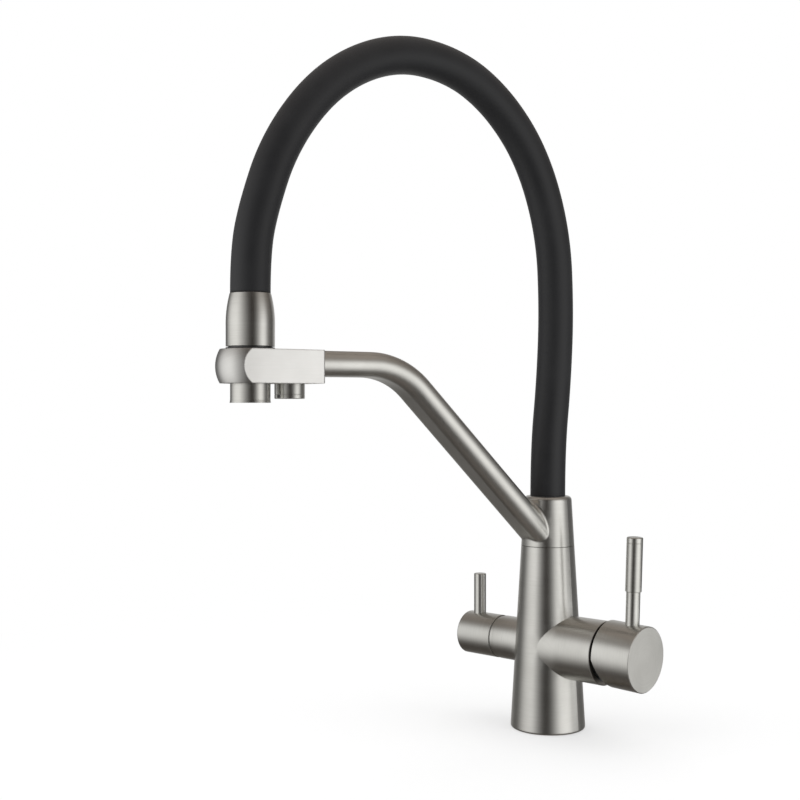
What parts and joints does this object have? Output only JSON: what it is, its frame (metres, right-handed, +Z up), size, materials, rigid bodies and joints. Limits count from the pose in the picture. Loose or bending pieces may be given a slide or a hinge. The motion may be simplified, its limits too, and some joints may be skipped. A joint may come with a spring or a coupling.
{
  "type": "three-way kitchen tap",
  "caption": "Deck-mounted kitchen tap with side mixer and filter levers, a swivelling dock arm, a hose-carried spray head and a separate filtered water outlet.",
  "frame": {"origin": "centre of the base's underside, on the deck, on the tower's axis", "axes": "+Z up along the tower; +X towards the mixer lever, -X towards the filter lever; the arm reaches towards -Y, turned 14.4 degrees from it towards the filter lever"},
  "size_m": [0.1599, 0.2748, 0.5319],
  "materials": {
    "brushed": "brushed satin",
    "brass": "machined",
    "steel": "plain",
    "rubber": "matte",
    "hose_black": "matte silicone",
    "black_plastic": "moulded",
    "white_plastic": "moulded",
    "grey_plastic": "moulded",
    "ceramic": "lapped ceramic"
  },
  "bodies": {
    "tap_body": {"body_casting": "brushed", "base_seal": "rubber", "mounting_shank": "brass", "deck_rubber": "rubber", "deck_washer": "steel", "mounting_nut": "brass", "swivel_spigot": "brass", "spigot_o_rings": "rubber", "bearing_ring": "white_plastic", "cartridge_base": "black_plastic", "port_seals": "rubber", "fixed_disc": "ceramic", "cartridge_housing": "black_plastic", "cartridge_nut": "brass", "trim_dome": "black_plastic", "filter_valve_body": "brass", "filter_valve_seal": "rubber", "filter_fixed_disc": "ceramic"},
    "mixer_turret": {"lever_carrier": "black_plastic", "lever_pivot_pin": "steel"},
    "disc_slider": {"disc_carrier": "black_plastic", "moving_disc": "ceramic"},
    "mixer_lever": {"cartridge_stem": "brass", "mixer_cap": "brushed", "cap_grub_screw": "steel", "mixer_pin": "brushed", "mixer_grip": "brushed"},
    "filter_lever": {"filter_spindle": "brass", "filter_moving_disc": "ceramic", "filter_knob": "brushed", "knob_grub_screw": "steel", "filter_pin": "brushed"},
    "spout": {"spout_arm": "brushed", "collar_grub_screw": "steel", "filter_tube": "white_plastic", "dock_block": "brushed", "dock_bush": "black_plastic", "filter_outlet": "brushed", "filter_aerator": "white_plastic", "aerator_washer": "rubber", "hose_tail": "brass", "inner_hose": "white_plastic", "hose_spring": "steel", "hose_jacket": "hose_black"},
    "hose_end": {"hose_ferrule": "brass"},
    "spray_head": {"hose_nut": "brass", "hose_washer": "rubber", "spray_sleeve": "brushed", "seat_ring": "rubber", "spray_barrel": "brushed", "check_valve": "black_plastic", "face_seal": "rubber", "spray_face": "grey_plastic"}
  },
  "joints": [
    {"name": "spout_swivel", "type": "hinge", "parent": "tap_body", "child": "spout", "pos_m": [0, 0, 0.12955], "axis": [0, 0, 1], "continuous": true},
    {"name": "spray_lift", "type": "slide", "parent": "spout", "child": "hose_end", "axis": [0, 0, 1], "range_m": [0, 0.04], "deforming": ["hose_jacket", "hose_spring", "inner_hose"]},
    {"name": "spray_turn", "type": "hinge", "parent": "hose_end", "child": "spray_head", "pos_m": [-0.05814, -0.22645, 0.2805], "axis": [0, 0, 1], "continuous": true},
    {"name": "mixer_temperature", "type": "hinge", "parent": "tap_body", "child": "mixer_turret", "pos_m": [0.046, 0, 0.05875], "axis": [1, 0, 0], "range_deg": [-45, 45]},
    {"name": "mixer_flow", "type": "hinge", "parent": "mixer_turret", "child": "mixer_lever", "pos_m": [0.046, 0, 0.05875], "axis": [0, 1, 0], "range_deg": [0, 20]},
    {"name": "disc_slide", "type": "slide", "parent": "mixer_turret", "child": "disc_slider", "axis": [0, 0, 1], "range_m": [0, 0.00445]},
    {"name": "filter_turn", "type": "hinge", "parent": "tap_body", "child": "filter_lever", "pos_m": [-0.0419, 0, 0.05875], "axis": [1, 0, 0], "range_deg": [0, 90]}
  ],
  "couplings": [
    {"joint": "disc_slide", "follows": "mixer_flow", "m_per_rad": 0.012651}
  ]
}
